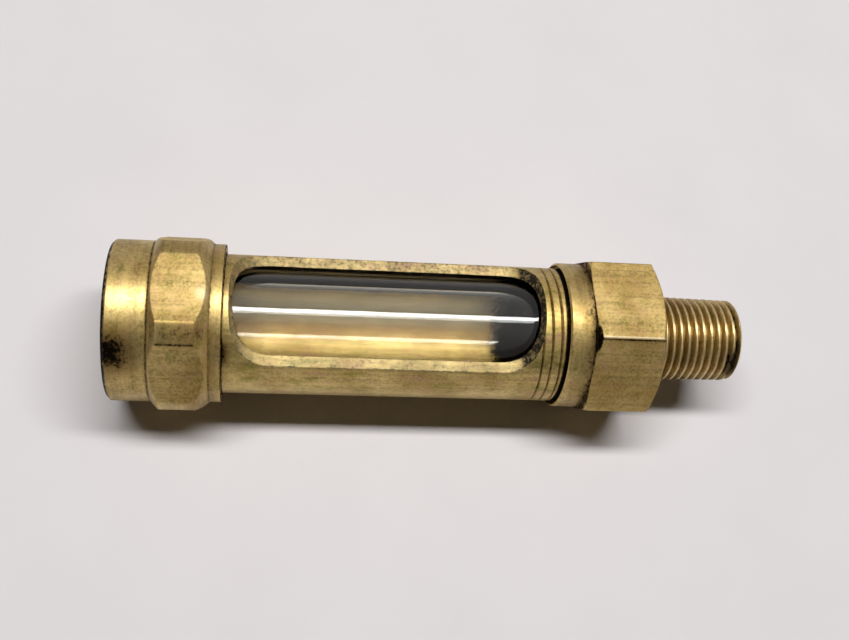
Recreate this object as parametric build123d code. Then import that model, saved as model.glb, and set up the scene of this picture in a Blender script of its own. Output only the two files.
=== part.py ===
from build123d import *
import os
from math import cos, radians, sin, sqrt

# Tank level gauge, lying on its side with its axis along +X.
# A glass tube is held between two gaskets inside a brass barrel, and a window milled
# into the barrel shows the level of the liquid. The barrel screws into a fitting at
# each end. The port fitting has a female pipe thread, and the stem fitting has a male
# one. Both fittings are turned from hexagon bar, and each has a socket for the barrel.
# Threads are plain surfaces here, at the size that the thread's crests reach.

# ---- Driving dimensions: millimetres, and degrees for angles ----

# Barrel: thin brass tube
barrel_diameter = 16.0
barrel_wall = 1.05
barrel_end_gap = 0.8  # from the barrel's end to the socket's bottom

# Sight window: milled from above by a cutter whose axis lies across the barrel
window_floor_height = 4.25  # of the milled floor, above the gauge's axis
window_cutter_radius = 4.9
window_port_margin = 0.8  # bare barrel between the window and the port fitting
window_stem_margin = 2.67  # bare barrel between the window and the stem fitting

# Glass tube
glass_length = 48.4
glass_wall = 1.6
glass_clearance = 0.55  # between the glass and the barrel's bore
glass_edge = 0.2  # ground edge at each end

# Gaskets: flat rubber rings in the bottoms of the sockets
gasket_thickness = 1.6
gasket_width = 1.9  # from the ring's inner edge to its outer edge
gasket_clearance = 0.15  # between a gasket and the barrel's bore

# Sockets that take the barrel's threaded ends
thread_clearance = 0.05
socket_mouth_depth = 0.6
socket_mouth_step = 0.3  # how much wider the mouth is than the socket, each side
passage_diameter = 6.0  # liquid passage through both fittings

# Port fitting: three-quarter inch hexagon bar with its corners turned down
port_socket_depth = 4.9
port_hex_wall = 1.475  # from the socket to a flat of the hexagon
port_corner_turndown = 0.65
port_collar_length = 4.7
port_collar_step = 0.335  # from a flat down to the collar
port_collar_edge = 0.4
port_hex_length = 6.6
port_hex_collar_chamfer = 1.05
port_hex_ring_chamfer = 1.44
port_ring_length = 1.3
port_ring_wall = 1.05
port_ring_edge = 0.15
port_web = 1.0  # between the threaded port and the socket
port_thread_diameter = 8.75
port_countersink = 0.7

# Stem fitting: eleven-sixteenths inch hexagon bar
stem_socket_depth = 7.73
stem_hex_wall = 0.68
stem_hex_turn = -6.6  # about the axis, from the port fitting's hexagon
stem_ring_length = 2.88
stem_ring_wall = 0.6
stem_ring_edge = 0.2
stem_hex_length = 8.4
stem_hex_ring_chamfer = 0.35
stem_hex_stem_chamfer = 0.8
chamfer_slope = 1.73  # radius lost for each millimetre along a hexagon's end chamfer
stem_length = 11.15
stem_thread_diameter = 10.2
stem_nose_rounding = 1.1  # radius of the rounded edge at the stem's end

# ---- Sizes that follow from them ----

barrel_radius = barrel_diameter / 2
bore_radius = barrel_radius - barrel_wall
socket_radius = barrel_radius + thread_clearance
glass_radius = bore_radius - glass_clearance
gasket_radius = bore_radius - gasket_clearance

port_flat_radius = socket_radius + port_hex_wall
port_corner_radius = port_flat_radius * 2 / sqrt(3) - port_corner_turndown
port_collar_radius = port_flat_radius - port_collar_step
port_ring_radius = socket_radius + port_ring_wall
stem_flat_radius = socket_radius + stem_hex_wall
stem_corner_radius = stem_flat_radius * 2 / sqrt(3)
stem_ring_radius = socket_radius + stem_ring_wall
stem_thread_radius = stem_thread_diameter / 2

# Places along the axis, from the port fitting's outer face
port_hex_start = port_collar_length
port_hex_end = port_hex_start + port_hex_length
port_end = port_hex_end + port_ring_length
port_seat = port_end - port_socket_depth
port_bottom = port_seat - port_web
glass_start = port_seat + gasket_thickness
glass_end = glass_start + glass_length
stem_seat = glass_end + gasket_thickness
stem_start = stem_seat - stem_socket_depth
stem_hex_start = stem_start + stem_ring_length
stem_hex_end = stem_hex_start + stem_hex_length
overall_length = stem_hex_end + stem_length
barrel_start = port_seat + barrel_end_gap
barrel_end = stem_seat - barrel_end_gap
window_start = port_end + window_port_margin
window_end = stem_start - window_stem_margin


def turned(outline):
    """Revolve a closed outline of (place along the axis, radius) corners about the axis."""
    return revolve(make_face(Polyline(*outline, close=True)), Axis.X)


def rod(start, end, radius):
    """Round bar about the axis."""
    return turned([(start, 0), (end, 0), (end, radius), (start, radius)])


def ring(start, end, inner_radius, outer_radius, edge=0.0):
    """Tube about the axis, with all four edges chamfered by edge."""
    outline = [
        (start + edge, inner_radius),
        (end - edge, inner_radius),
        (end, inner_radius + edge),
        (end, outer_radius - edge),
        (end - edge, outer_radius),
        (start + edge, outer_radius),
        (start, outer_radius - edge),
        (start, inner_radius + edge),
    ]
    if edge == 0:
        outline = [outline[index] for index in (0, 1, 4, 5)]
    return turned(outline)


def hexagon_bar(start, end, flat_radius, turn=0.0):
    """Hexagon bar about the axis, with a flat facing down when turn is zero."""
    section = Plane.YZ * RegularPolygon(flat_radius, 6, major_radius=False)
    return Pos(start, 0, 0) * Rot(turn, 0, 0) * extrude(section, end - start)


def barrel_socket(mouth, seat):
    """Socket for a threaded end of the barrel, with a wider mouth."""
    depth_sign = 1 if seat > mouth else -1
    step = mouth + depth_sign * socket_mouth_depth
    outline = [
        (mouth, 0),
        (mouth, socket_radius + socket_mouth_step),
        (step, socket_radius + socket_mouth_step),
        (step, socket_radius),
        (seat, socket_radius),
        (seat, 0),
    ]
    return turned(outline)


def sight_window():
    """Cutter's sweep: a flat floor that runs out through the barrel in an arc at each end."""
    rise = min(barrel_radius - window_floor_height, window_cutter_radius)
    run_out = sqrt(window_cutter_radius**2 - (window_cutter_radius - rise) ** 2)
    overshoot = window_cutter_radius - run_out
    left = window_start - overshoot
    right = window_end + overshoot
    top = window_floor_height + window_cutter_radius + barrel_radius
    side = make_face(
        Polyline(
            (left, window_floor_height),
            (right, window_floor_height),
            (right, top),
            (left, top),
            close=True,
        )
    )
    side = fillet(side.vertices().sort_by(Axis.Y)[:2], window_cutter_radius)
    return extrude(Plane.XZ * side, barrel_diameter, both=True)


def window_barrel():
    """Barrel: a tube with the sight window in its upper side."""
    return ring(barrel_start, barrel_end, bore_radius, barrel_radius) - sight_window()


def glass_tube():
    """Clear glass tube, open at both ends."""
    inner_radius = glass_radius - glass_wall
    return ring(glass_start, glass_end, inner_radius, glass_radius, glass_edge)


def gasket(start):
    """Flat rubber ring between a socket's bottom and the glass."""
    return ring(start, start + gasket_thickness, gasket_radius - gasket_width, gasket_radius)


def port_fitting():
    """Fitting with the female pipe thread: collar, hexagon and ring in one piece."""
    outside = turned(
        [
            (0, 0),
            (0, port_collar_radius - port_collar_edge),
            (port_collar_edge, port_collar_radius),
            (port_hex_start, port_collar_radius),
            (port_hex_start + port_hex_collar_chamfer, port_corner_radius),
            (port_hex_end - port_hex_ring_chamfer, port_corner_radius),
            (port_hex_end, port_ring_radius),
            (port_end - port_ring_edge, port_ring_radius),
            (port_end, port_ring_radius - port_ring_edge),
            (port_end, 0),
        ]
    )
    port = turned(
        [
            (0, 0),
            (0, port_thread_diameter / 2 + port_countersink),
            (port_countersink, port_thread_diameter / 2),
            (port_bottom, port_thread_diameter / 2),
            (port_bottom, 0),
        ]
    )
    passage = rod(port_bottom, port_seat, passage_diameter / 2)
    body = outside & hexagon_bar(0, port_end, port_flat_radius)
    return body - barrel_socket(port_end, port_seat) - port - passage


def stem_fitting():
    """Fitting with the male pipe thread: ring, hexagon and stem in one piece."""
    face_radius = stem_corner_radius - chamfer_slope * stem_hex_stem_chamfer
    ring_face_radius = stem_corner_radius - chamfer_slope * stem_hex_ring_chamfer
    nose = [
        (
            overall_length - stem_nose_rounding * (1 - sin(radians(angle))),
            stem_thread_radius - stem_nose_rounding * (1 - cos(radians(angle))),
        )
        for angle in range(0, 91, 15)
    ]
    outside = turned(
        [
            (stem_start, 0),
            (stem_start, stem_ring_radius - stem_ring_edge),
            (stem_start + stem_ring_edge, stem_ring_radius),
            (stem_hex_start, stem_ring_radius),
            (stem_hex_start, ring_face_radius),
            (stem_hex_start + stem_hex_ring_chamfer, stem_corner_radius),
            (stem_hex_end - stem_hex_stem_chamfer, stem_corner_radius),
            (stem_hex_end, face_radius),
            (stem_hex_end, stem_thread_radius),
            *nose,
            (overall_length, 0),
        ]
    )
    passage = rod(stem_seat, overall_length, passage_diameter / 2)
    body = outside & hexagon_bar(stem_start, overall_length, stem_flat_radius, stem_hex_turn)
    return body - barrel_socket(stem_start, stem_seat) - passage


pieces = {
    "window_barrel": window_barrel(),
    "glass_tube": glass_tube(),
    "port_end_gasket": gasket(port_seat),
    "stem_end_gasket": gasket(glass_end),
    "port_fitting": port_fitting(),
    "stem_fitting": stem_fitting(),
}

# The gauge lies on a flat of the port fitting's hexagon, and its length is centred.
lying = Pos(-overall_length / 2, 0, port_flat_radius)
os.makedirs("parts", exist_ok=True)
for name, piece in pieces.items():
    export_step(lying * piece, f"parts/{name}.step")
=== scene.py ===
"""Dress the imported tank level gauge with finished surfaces, and set its floor, lamp and camera.

The gauge lies with its axis along +X. Every surface here is worked out as whole numpy
arrays in millimetres, from a profile turned about that axis, and goes into its mesh in
metres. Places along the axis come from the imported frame's boxes.
"""

import logging
import math
from dataclasses import dataclass
from enum import Enum
from functools import reduce

import bmesh
import bpy
import numpy as np
from mathutils import Matrix, Vector


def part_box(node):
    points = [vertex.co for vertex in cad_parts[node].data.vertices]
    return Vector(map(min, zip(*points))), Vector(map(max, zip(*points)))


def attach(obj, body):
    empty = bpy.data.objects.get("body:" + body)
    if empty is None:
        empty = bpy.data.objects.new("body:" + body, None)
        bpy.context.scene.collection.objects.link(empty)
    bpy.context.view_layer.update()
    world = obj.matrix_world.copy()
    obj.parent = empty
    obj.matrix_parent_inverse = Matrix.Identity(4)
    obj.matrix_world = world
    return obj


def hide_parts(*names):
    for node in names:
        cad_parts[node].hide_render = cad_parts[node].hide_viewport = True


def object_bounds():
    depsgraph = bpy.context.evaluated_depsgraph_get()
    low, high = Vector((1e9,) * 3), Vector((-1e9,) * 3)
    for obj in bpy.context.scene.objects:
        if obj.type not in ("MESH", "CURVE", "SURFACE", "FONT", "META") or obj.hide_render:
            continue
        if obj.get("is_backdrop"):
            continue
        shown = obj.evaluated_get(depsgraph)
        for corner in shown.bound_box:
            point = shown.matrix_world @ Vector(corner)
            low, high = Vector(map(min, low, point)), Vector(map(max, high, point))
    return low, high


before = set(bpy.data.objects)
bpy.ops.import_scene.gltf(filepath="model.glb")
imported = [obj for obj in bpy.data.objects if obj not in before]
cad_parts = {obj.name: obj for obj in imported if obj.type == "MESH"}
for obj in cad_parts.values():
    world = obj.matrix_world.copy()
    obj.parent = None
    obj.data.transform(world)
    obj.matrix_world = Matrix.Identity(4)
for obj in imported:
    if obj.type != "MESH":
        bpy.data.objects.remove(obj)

MM = 0.001
LOG = logging.getLogger("tank_level_gauge")

TURN = 2 * math.pi
SIXTH = math.pi / 3

Colour = tuple[float, float, float]
Array = np.ndarray
Socket = bpy.types.NodeSocket
Material = bpy.types.Material
Piece = bpy.types.Object


class Slot(Enum):
    """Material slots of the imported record."""

    BARREL_BRASS = "barrel_brass"
    FITTING_BRASS = "fitting_brass"
    CLEAR_GLASS = "clear_glass"
    BLACK_RUBBER = "black_rubber"


class Marks(Enum):
    """Direction in which a tool left its fine lines on a brass surface."""

    TURNED = (2600.0, 160.0, 160.0)
    DRAWN = (70.0, 2400.0, 2400.0)


def display(*levels: float) -> Colour:
    """Turn a display colour's three levels of 0 to 255 into linear shares, by the sRGB curve."""
    share = np.array(levels) / 255
    return tuple(np.where(share <= 0.04045, share / 12.92, ((share + 0.055) / 1.055) ** 2.4).tolist())


# ---- Surfaces ----


def soft_min(first: Array, second: Array, softness: float) -> Array:
    """Take the smaller of two distances a and b, less s n^2 / 4 with n = 1 - |a - b| / s, if n > 0."""
    near = np.clip(softness - np.abs(first - second), 0, None) / softness
    return np.minimum(first, second) - near**2 * softness / 4


def ease(value: Array, low: float, high: float) -> Array:
    """Rise smoothly from 0 at low to 1 at high, as 3t^2 - 2t^3."""
    share = np.clip((value - low) / (high - low), 0, 1)
    return share**2 * (3 - 2 * share)


def bump(value: Array, middle: float, half: float) -> Array:
    """Rise from 0 to 1 at middle and fall to 0 again a half width away, as (1 - t^2)^2."""
    return np.clip(1 - ((value - middle) / half) ** 2, 0, None) ** 2


def facing(angles: Array, middle: float, half: float) -> Array:
    """Do as bump does over angles in radians, for a middle and a half width in degrees."""
    away = (angles - math.radians(middle) + math.pi) % TURN - math.pi
    return bump(away, 0.0, math.radians(half))


def span(value: Array, low: float, high: float, rise: float, fall: float) -> Array:
    """Give 1 between low and high, easing up over the rise after low and down before high."""
    return ease(value, low, low + rise) * (1 - ease(value, high - fall, high))


def highest(*masks: Array | float) -> Array:
    """Take the greatest of several masks at every point."""
    return reduce(np.maximum, masks)


def count_out(count: Array) -> tuple[Array, Array]:
    """Repeat each row's number as often as its count, and number the repeats from 0."""
    which = np.repeat(np.arange(len(count)), count)
    return which, np.arange(len(which)) - np.repeat(np.cumsum(count) - count, count)


@dataclass(frozen=True)
class Profile:
    """Closed outline beside the axis, whose corners are (along, radius, rounding, steps)."""

    corners: tuple[tuple[float, float, float, int], ...]
    hold: float = 0.02

    def loop(self) -> Array:
        """Round the outline's corners.

        Each corner P becomes the curve (1-t)^2 A + 2t(1-t) P + t^2 B, where A and B lie
        one rounding away from P on its two sides. A point just before A and one just
        after B keep the straight sides straight when they are shaded.

        Returns:
            Points of the loop, as rows of (along, radius).
        """
        table = np.array(self.corners, float)
        corner, cut = table[:, :2], table[:, 2:3]
        back = np.roll(corner, 1, axis=0) - corner
        ahead = np.roll(corner, -1, axis=0) - corner
        back /= np.linalg.norm(back, axis=1, keepdims=True)
        ahead /= np.linalg.norm(ahead, axis=1, keepdims=True)
        steps = table[:, 3].astype(int)
        count = steps + 3
        which, step = count_out(count)
        share = np.clip((step - 1) / steps[which], 0, 1)[:, None]
        first = corner[which] + cut[which] * back[which]
        last = corner[which] + cut[which] * ahead[which]
        curve = (1 - share) ** 2 * first + share**2 * last
        curve += 2 * share * (1 - share) * corner[which]
        curve += np.where(step == 0, self.hold, 0)[:, None] * back[which]
        curve += np.where(step == count[which] - 1, self.hold, 0)[:, None] * ahead[which]
        return curve


def fill_in(loop: Array, start: float, end: float, inner: float, spacing: float) -> Array:
    """Add points to a loop's long steps between two places along the axis.

    A step of length L gets L / spacing even parts, rounded up. Steps nearer the axis than
    inner are left as they are.

    Args:
        loop: Rows of (along, radius).
        start: Lower place along the axis.
        end: Upper place along the axis.
        inner: Radius below which nothing is added.
        spacing: Longest step to leave.

    Returns:
        The longer loop.
    """
    stride = np.roll(loop, -1, axis=0) - loop
    middle = loop + stride / 2
    wanted = (middle[:, 0] > start) & (middle[:, 0] < end) & (middle[:, 1] > inner)
    parts = np.ceil(np.linalg.norm(stride, axis=1) / spacing)
    count = np.where(wanted, np.maximum(parts, 1), 1).astype(int)
    which, step = count_out(count)
    return loop[which] + (step / count[which])[:, None] * stride[which]


@dataclass(frozen=True)
class Hexagon:
    """Hexagon bar about the axis, with one flat turned from straight up by some degrees."""

    flat_radius: float
    turn: float = 0.0
    softness: float = 0.12
    crowding: float = 0.65

    def angles(self, per_flat: int) -> Array:
        """Place angles round the bar, closest together at its corners.

        In each sixth the place is w times (1 - c) plus w cubed times c, w running from -1
        to 1 across the corner and c being the crowding.

        Args:
            per_flat: Number of angles in each sixth.

        Returns:
            Angles in radians, round one turn.
        """
        share = np.arange(per_flat) / per_flat * 2 - 1
        spread = (1 - self.crowding) * share + self.crowding * share**3
        corners = math.radians(self.turn) + (np.arange(6) + 0.5) * SIXTH
        return (corners[:, None] + spread * SIXTH / 2).ravel()

    def reach(self, angles: Array) -> Array:
        """Give the distance from the axis to the bar's surface.

        That is the flat's distance over the cosine of the angle from the flat's middle,
        rounded where two flats meet.

        Args:
            angles: Angles in radians.

        Returns:
            Distances in millimetres.
        """
        away = np.abs((angles - math.radians(self.turn) + SIXTH / 2) % SIXTH - SIXTH / 2)
        own = self.flat_radius / np.cos(away)
        neighbour = self.flat_radius / np.cos(SIXTH - away)
        return soft_min(own, neighbour, self.softness)

    def corner_gap(self, angles: Array) -> Array:
        """Give the way round from the nearest corner in millimetres, negative before it."""
        away = (angles - math.radians(self.turn)) % SIXTH - SIXTH / 2
        return away * self.flat_radius / math.cos(SIXTH / 2)


@dataclass(frozen=True)
class Thread:
    """Right-hand V thread along the axis, 27 turns to the inch unless told otherwise."""

    depth: float
    pitch: float = 25.4 / 27
    crest_flat: float = 0.08
    root: float = 0.9
    hollow: float = 0.25

    def cut(self, along: Array, angles: Array) -> Array:
        """Give the depth of the groove below the crests.

        The phase is along / pitch less the share of a turn. The groove g is a V across it,
        cut off at its crest and root, and its depth is depth * g * (1 + h - h g), h being
        the hollow that rounds the root.

        Args:
            along: Places along the axis, as a column.
            angles: Angles in radians, as a row.

        Returns:
            Depths in millimetres, one row for each place.
        """
        phase = along / self.pitch - angles / TURN
        rise = np.abs(2 * (phase % 1) - 1)
        groove = np.clip((1 - rise - self.crest_flat) / (self.root - self.crest_flat), 0, 1)
        return self.depth * groove * (1 + self.hollow - self.hollow * groove)


@dataclass
class Turned:
    """Surface about the axis: places along it, distances from it and angles in radians."""

    along: Array
    radius: Array
    angles: Array


@dataclass(frozen=True)
class Spot:
    """Soft-edged spot for a mask of wear, dirt, painted shade and painted reflection: strength, place and
    half width along, bearing and half width round.

    A half width of 0 stands for all the way along or round. Bearings are in degrees.
    """

    strength: float
    place: float = 0.0
    half: float = 0.0
    bearing: float = 0.0
    half_bearing: float = 0.0

    def on(self, at: Turned, start: float = 0.0, turn: float = 0.0) -> Array | float:
        """Give the spot's strength times its bump along the axis and its bump round it.

        Args:
            at: The surface.
            start: Place along the axis that the spot's place is counted from.
            turn: Bearing in degrees that the spot's bearing is counted from.

        Returns:
            The spot over the surface.
        """
        along = bump(at.along, start + self.place, self.half) if self.half else 1.0
        if not self.half_bearing:
            return self.strength * along
        return self.strength * along * facing(at.angles, turn + self.bearing, self.half_bearing)


def grid_quads(rows: int, columns: int, loop_rows: bool, loop_columns: bool) -> Array:
    """List the quads of a grid of points, row by row.

    Args:
        rows: Number of rows.
        columns: Number of columns.
        loop_rows: Whether the last row joins the first.
        loop_columns: Whether the last column joins the first.

    Returns:
        Four point numbers for each quad.
    """
    row, column = np.meshgrid(
        np.arange(rows if loop_rows else rows - 1),
        np.arange(columns if loop_columns else columns - 1),
        indexing="ij",
    )
    below, beside = (row + 1) % rows, (column + 1) % columns
    corners = [(row, column), (row, beside), (below, beside), (below, column)]
    return np.stack([r * columns + c for r, c in corners], axis=-1).reshape(-1, 4)


@dataclass
class Wear:
    """Masks of 0 to 1 over a grid of points: cut flats, soil with painted shade, pale rubbed edges with
    painted sheen and pale reflections, and patina.
    """

    cut: Array | float = 0.0
    soil_and_shade: Array | float = 0.0
    rubbed_and_sheen: Array | float = 0.0
    patina: Array | float = 0.0

    def rows(self, shape: tuple[int, ...]) -> Array:
        """Spread the masks over a grid.

        Args:
            shape: Rows and columns of the grid.

        Returns:
            Four masks for each point, row by row.
        """
        masks = (self.cut, self.soil_and_shade, self.rubbed_and_sheen, self.patina)
        spread = np.stack([np.broadcast_to(mask, shape) for mask in masks], axis=-1)
        return spread.reshape(-1, len(masks))


Patch = tuple[Array, Array, Wear]
# The soil mask also carries painted shade, and the rubbed mask painted sheen and pale reflections.
MASKS = ("cut", "soil_and_shade", "rubbed_and_sheen", "patina")


def grid_mesh(name: str, patches: list[Patch], weld: float) -> bpy.types.Mesh:
    """Make one mesh of several patches of points, quads and wear.

    Args:
        name: Name of the mesh.
        patches: Points in millimetres, quads and wear of each patch.
        weld: Distance in millimetres under which points become one, or 0.

    Returns:
        The mesh, in metres, with one point attribute for each mask.
    """
    points = np.concatenate([patch.reshape(-1, 3) for patch, _, _ in patches])
    masks = np.concatenate([wear.rows(patch.shape[:2]) for patch, _, wear in patches])
    sizes = np.array([0] + [patch.size // 3 for patch, _, _ in patches[:-1]])
    offsets = np.cumsum(sizes)
    quads = np.concatenate([quad + offset for (_, quad, _), offset in zip(patches, offsets)])
    mesh = bpy.data.meshes.new(name)
    mesh.vertices.add(len(points))
    mesh.vertices.foreach_set("co", (points * MM).astype(np.float32).ravel())
    mesh.loops.add(quads.size)
    mesh.loops.foreach_set("vertex_index", quads.astype(np.int32).ravel())
    mesh.polygons.add(len(quads))
    mesh.polygons.foreach_set("loop_start", np.arange(0, quads.size, 4, dtype=np.int32))
    mesh.update(calc_edges=True)
    for column, label in enumerate(MASKS):
        layer = mesh.attributes.new(label, "FLOAT", "POINT")
        layer.data.foreach_set("value", np.clip(masks[:, column], 0, 1).astype(np.float32))
    if weld:
        shape = bmesh.new()
        shape.from_mesh(mesh)
        bmesh.ops.remove_doubles(shape, verts=shape.verts, dist=weld * MM)
        shape.to_mesh(mesh)
        shape.free()
    mesh.validate()
    return mesh


def add_object(name: str, data: bpy.types.ID) -> Piece:
    """Make an object and put it into the scene.

    Args:
        name: Name of the object.
        data: Its mesh, light or camera.

    Returns:
        The object.
    """
    made = bpy.data.objects.new(name, data)
    bpy.context.scene.collection.objects.link(made)
    return made


@dataclass
class Part:
    """A piece of the gauge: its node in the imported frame, its slot and how its mesh is finished.

    Points nearer than the weld become one, and an edge past the sharp angle is shaded sharp.
    """

    name: str
    node: str
    slot: Slot
    height: float = 0.0
    start: float = 0.0
    end: float = 0.0
    weld: float = 0.0
    sharp: float = 40.0

    def __post_init__(self) -> None:
        """Read the piece's reach along the axis and the axis height from the frame."""
        low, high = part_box(self.node)
        core_low, core_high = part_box("glass_tube")
        self.start, self.end = low.x / MM, high.x / MM
        self.height = (core_low.z + core_high.z) / 2 / MM

    def round_axis(self, at: Turned) -> Array:
        """Put a surface given about the axis into the frame.

        A point is (along, -radius sin angle, height + radius cos angle), with the angle
        counted from straight up.

        Args:
            at: The surface.

        Returns:
            Points, with x, y and z last.
        """
        along, radius, angles = np.broadcast_arrays(at.along, at.radius, at.angles)
        upright = self.height + radius * np.cos(angles)
        return np.stack([along, -radius * np.sin(angles), upright], axis=-1)

    def closed(self, at: Turned, wear: Wear) -> Patch:
        """Give the patch of a surface whose rows and columns both close."""
        points = self.round_axis(at)
        return points, grid_quads(*points.shape[:2], True, True), wear

    def finish(self, patches: list[Patch], material: Material) -> Piece:
        """Make patches the shown piece in place of its node.

        Args:
            patches: Points in millimetres, quads and wear of each patch.
            material: Material of the piece.

        Returns:
            The piece.
        """
        mesh = grid_mesh(self.name, patches, self.weld)
        mesh.polygons.foreach_set("use_smooth", np.ones(len(mesh.polygons), bool))
        mesh.set_sharp_from_angle(angle=math.radians(self.sharp))
        mesh.materials.append(material)
        piece = add_object(self.name, mesh)
        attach(piece, "root")
        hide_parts(self.node)
        LOG.info("%s: %d faces", self.name, len(mesh.polygons))
        return piece


# ---- Finishes ----


class NodeSheet:
    """Short way to add and join the nodes of one tree."""

    def __init__(self, tree: bpy.types.NodeTree) -> None:
        """Start on a tree."""
        self.tree = tree

    def add(self, kind: str, values: dict | None = None, **settings: object) -> bpy.types.Node:
        """Add a node.

        Args:
            kind: Blender's name of the node type.
            values: Values or outputs for the node's inputs, by name or number.
            settings: Values for the node's own settings.

        Returns:
            The node.
        """
        node = self.tree.nodes.new(kind)
        for key, value in settings.items():
            setattr(node, key, value)
        self.feed(node.inputs, values or {})
        return node

    def feed(self, inputs: bpy.types.bpy_prop_collection, values: dict) -> None:
        """Give inputs their values, or link outputs to them.

        Args:
            inputs: A node's inputs.
            values: Values or outputs, by the input's name or number.
        """
        for key, value in values.items():
            if isinstance(value, Socket):
                self.tree.links.new(value, inputs[key])
            else:
                inputs[key].default_value = value

    def place(self) -> Socket:
        """Return places in the object's own frame, in metres."""
        return self.add("ShaderNodeTexCoord").outputs["Object"]

    def math(self, operation: str, first: object, second: object = 0.0) -> Socket:
        """Join two values by a clamp-free Math node and return its output."""
        return self.add("ShaderNodeMath", {0: first, 1: second}, operation=operation).outputs[0]

    def plus(self, *values: object) -> Socket:
        """Add up values and return the output."""
        return reduce(lambda first, second: self.math("ADD", first, second), values)

    def times(self, first: object, second: object) -> Socket:
        """Multiply two values and return the output."""
        return self.math("MULTIPLY", first, second)

    def scale(self, place: object, factors: object) -> Socket:
        """Multiply a place by factors, axis by axis, and return the output."""
        return self.add("ShaderNodeVectorMath", {0: place, 1: factors}, operation="MULTIPLY").outputs[0]

    def stretch(
        self, value: object, low: float, high: float, start: float = 0.0, end: float = 1.0
    ) -> Socket:
        """Map low..high onto start..end, clamped and eased, and return the output."""
        inputs = {"Value": value, 1: low, 2: high, 3: start, 4: end}
        return self.add("ShaderNodeMapRange", inputs, interpolation_type="SMOOTHSTEP").outputs[0]

    def between(self, share: object, first: object, second: object) -> Socket:
        """Go from one value to another by a share and return the output."""
        inputs = {0: share, 2: first, 3: second}
        return self.add("ShaderNodeMix", inputs, data_type="FLOAT").outputs[0]

    def group(self, tree: bpy.types.NodeTree, **values: object) -> bpy.types.bpy_prop_collection:
        """Place a node group with values or outputs for its inputs, and return its outputs."""
        return self.add("ShaderNodeGroup", values, node_tree=tree).outputs

    def mix(self, share: object, first: object, second: object, blend: str = "MIX") -> Socket:
        """Mix two colours.

        Args:
            share: Share of the second colour.
            first: First colour, or an output.
            second: Second colour, or an output.
            blend: Blender's name of the way they are mixed.

        Returns:
            The output.
        """
        first, second = (
            colour if isinstance(colour, Socket) else (*colour, 1.0) for colour in (first, second)
        )
        inputs = {0: share, 6: first, 7: second}
        return self.add("ShaderNodeMix", inputs, data_type="RGBA", blend_type=blend).outputs[2]

    def seen(self) -> Socket:
        """Tell the rays that show a thing from those that only light it.

        Returns:
            Output of 1 for rays from the camera, off gloss and through glass, or else 0.
        """
        path = self.add("ShaderNodeLightPath").outputs
        straight = self.math("MAXIMUM", path["Is Camera Ray"], path["Is Transmission Ray"])
        return self.math("MAXIMUM", straight, path["Is Glossy Ray"])

    def noise(self, place: object, scale: float, detail: float = 2.0, rough: float = 0.5) -> Socket:
        """Add a noise texture over a place and return its value."""
        inputs = {"Vector": place, "Scale": scale, "Detail": detail, "Roughness": rough}
        return self.add("ShaderNodeTexNoise", inputs).outputs["Fac"]


def new_group(name: str, inputs: dict[str, str], outputs: dict[str, str]) -> tuple[NodeSheet, dict, dict]:
    """Start a shader node group.

    Args:
        name: Name of the group.
        inputs: Socket types of its inputs, by name.
        outputs: Socket types of its outputs, by name.

    Returns:
        The group's sheet, its inputs as outputs to link from, and its sinks to link to.
    """
    tree = bpy.data.node_groups.new(name, "ShaderNodeTree")
    for label, kind in inputs.items():
        tree.interface.new_socket(label, in_out="INPUT", socket_type=kind)
    for label, kind in outputs.items():
        tree.interface.new_socket(label, in_out="OUTPUT", socket_type=kind)
    sheet = NodeSheet(tree)
    source = sheet.add("NodeGroupInput").outputs
    sink = sheet.add("NodeGroupOutput").inputs
    return sheet, source, sink


NUMBER, VECTOR = "NodeSocketFloat", "NodeSocketVector"


class Effects:
    """Node groups that several finishes share."""

    def __init__(self) -> None:
        """Build each group once."""
        self.tool_lines = self._tool_lines()
        self.tarnish = self._tarnish()

    def _tool_lines(self) -> bpy.types.NodeTree:
        """Fine lines left by a tool: noise stretched along the stroke, coarse over fine.

        Returns:
            The group, with Place and Stretch in and Lines out.
        """
        inputs = dict.fromkeys(("Place", "Stretch"), VECTOR)
        sheet, source, sink = new_group("tool_lines", inputs, {"Lines": NUMBER})
        stroke = sheet.scale(source["Place"], source["Stretch"])
        coarse = sheet.noise(stroke, 0.35, 3.0, 0.6)
        fine = sheet.noise(stroke, 1.3, 2.0, 0.5)
        sheet.feed(sink, {"Lines": sheet.plus(sheet.times(coarse, 0.6), sheet.times(fine, 0.4))})
        return sheet.tree

    def _tarnish(self) -> bpy.types.NodeTree:
        """Tarnish on brass: wide clouds, rosy and olive blotches, patches and a fine grain.

        Returns:
            The group, with Place in, and Cloud, Rosy, Olive, Patches and Grain out.
        """
        outputs = dict.fromkeys(("Cloud", "Rosy", "Olive", "Patches", "Grain"), NUMBER)
        sheet, source, sink = new_group("tarnish", {"Place": VECTOR}, outputs)
        place = source["Place"]
        blotch = sheet.noise(place, 750.0, 4.0, 0.65)
        made = {
            "Cloud": sheet.stretch(sheet.noise(place, 170.0, 4.0, 0.6), 0.36, 0.66),
            "Rosy": sheet.stretch(blotch, 0.52, 0.72),
            "Olive": sheet.stretch(blotch, 0.5, 0.3),
            "Patches": sheet.stretch(sheet.noise(place, 1300.0, 4.0, 0.7), 0.36, 0.64),
            "Grain": sheet.noise(place, 3000.0, 3.0, 0.7),
        }
        sheet.feed(sink, made)
        return sheet.tree


def new_material(name: str) -> tuple[Material, NodeSheet, bpy.types.Node]:
    """Start a material.

    Args:
        name: Name of the material.

    Returns:
        The material, its sheet and its Principled shader.
    """
    material = bpy.data.materials.new(name)
    material.use_nodes = True
    return material, NodeSheet(material.node_tree), material.node_tree.nodes["Principled BSDF"]


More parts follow.
